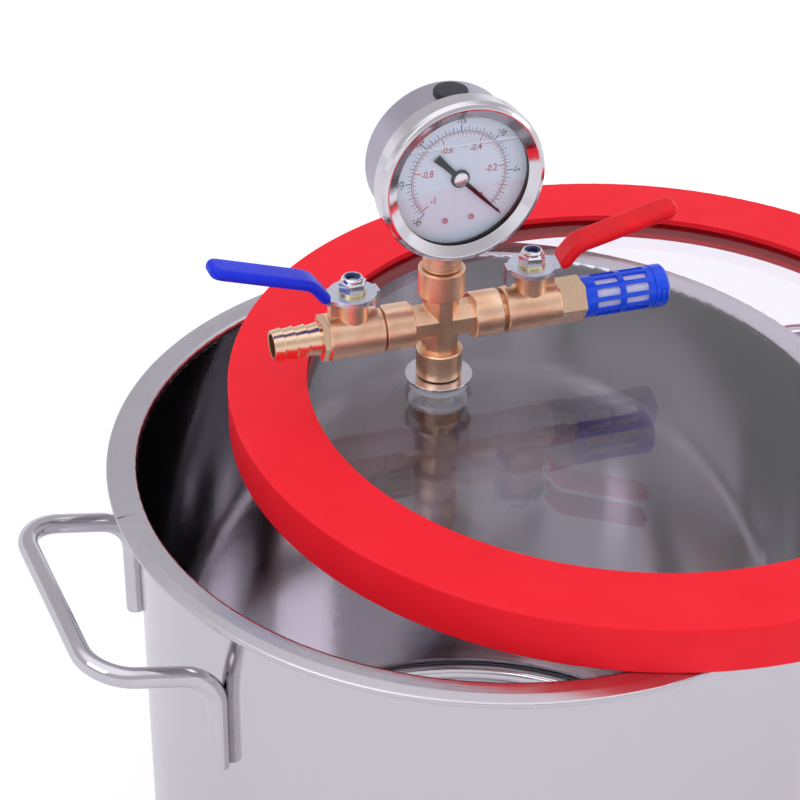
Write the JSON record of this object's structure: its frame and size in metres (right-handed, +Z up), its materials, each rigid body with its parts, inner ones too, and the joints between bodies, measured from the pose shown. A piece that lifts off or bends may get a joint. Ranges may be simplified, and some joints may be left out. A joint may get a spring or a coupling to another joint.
{
  "type": "vacuum chamber",
  "caption": "Deep stainless pot with a thick see-through lid resting on its rim, carrying a brass manifold with a vacuum gauge, two lever valves and a muffler.",
  "frame": {"origin": "middle of the pot's flat bottom face", "axes": "+Z up along the pot's axis, +X through the middle of the right handle, the gauge's dial faces about -Y"},
  "size_m": [0.4302, 0.341, 0.408],
  "materials": {
    "stainless": "polished",
    "silicone_red": "smooth satin",
    "clear_disc": "clear",
    "white_silicone": "satin",
    "steel_plain": "sheared edge",
    "black_rubber": "matte",
    "brass_cast": "cast and machined",
    "zinc_plate": "zinc plated",
    "zinc_yellow": "yellow zinc",
    "vinyl_blue": "dipped vinyl",
    "vinyl_red": "dipped vinyl",
    "ptfe": "smooth",
    "ball_chrome": "polished",
    "moulded_blue": "moulded",
    "felt_white": "felt",
    "gauge_window": "clear",
    "dial_face": "printed",
    "pointer_black": "painted",
    "movement_brass": "stamped"
  },
  "bodies": {
    "chamber": {"pot_body": "stainless", "rim_ring": "stainless", "handle_left": "stainless", "handle_right": "stainless", "lid_glass": "clear_disc", "lid_gasket": "silicone_red", "upper_seal_washer": "white_silicone", "clamp_washer": "steel_plain", "stem_o_ring": "black_rubber", "hollow_stem": "brass_cast", "lower_seal_washer": "white_silicone", "cross_body": "brass_cast", "hose_barb": "brass_cast", "muffler_adapter": "brass_cast", "muffler_cage": "moulded_blue", "muffler_felt": "felt_white", "muffler_cap": "moulded_blue", "gauge_socket": "brass_cast", "gauge_case": "stainless", "gauge_bezel": "stainless", "gauge_window": "gauge_window", "window_gasket": "black_rubber", "gauge_dial": "dial_face", "dial_screws": "zinc_plate", "movement_frame": "movement_brass", "movement_link": "movement_brass", "bourdon_tube": "movement_brass", "fill_plug": "black_rubber", "blue_valve_body": "brass_cast", "blue_valve_retainer": "brass_cast", "blue_valve_seats": "ptfe", "blue_stem_packing": "ptfe", "red_valve_body": "brass_cast", "red_valve_retainer": "brass_cast", "red_valve_seats": "ptfe", "red_stem_packing": "ptfe"},
    "blue_handle": {"blue_lever": "zinc_plate", "blue_lever_sleeve": "vinyl_blue", "blue_lock_washer": "zinc_yellow", "blue_lever_nut": "zinc_plate", "blue_valve_stem": "steel_plain", "blue_valve_ball": "ball_chrome"},
    "red_handle": {"red_lever": "zinc_plate", "red_lever_sleeve": "vinyl_red", "red_lock_washer": "zinc_yellow", "red_lever_nut": "zinc_plate", "red_valve_stem": "steel_plain", "red_valve_ball": "ball_chrome"},
    "pointer": {"gauge_pointer": "pointer_black", "pointer_shaft": "movement_brass"},
    "sector": {"sector_gear": "movement_brass"}
  },
  "joints": [
    {"name": "blue_lever_turn", "type": "hinge", "parent": "chamber", "child": "blue_handle", "pos_m": [-0.04964, 0.03248, 0.3002], "axis": [0, 0, -1], "range_deg": [0, 90]},
    {"name": "red_lever_turn", "type": "hinge", "parent": "chamber", "child": "red_handle", "pos_m": [0.02737, 0.02466, 0.3002], "axis": [0, 0, -1], "range_deg": [-6.6, 83.4]},
    {"name": "sector_swing", "type": "hinge", "parent": "chamber", "child": "sector", "pos_m": [-0.01183, 0.02865, 0.3602], "axis": [-0.0576, -0.9983, 0], "range_deg": [-33.75, 0]},
    {"name": "pointer_turn", "type": "hinge", "parent": "chamber", "child": "pointer", "pos_m": [-0.01183, 0.02865, 0.3737], "axis": [-0.0576, -0.9983, 0], "range_deg": [0, 270]}
  ],
  "couplings": [
    {"joint": "pointer_turn", "follows": "sector_swing", "ratio": -8}
  ]
}
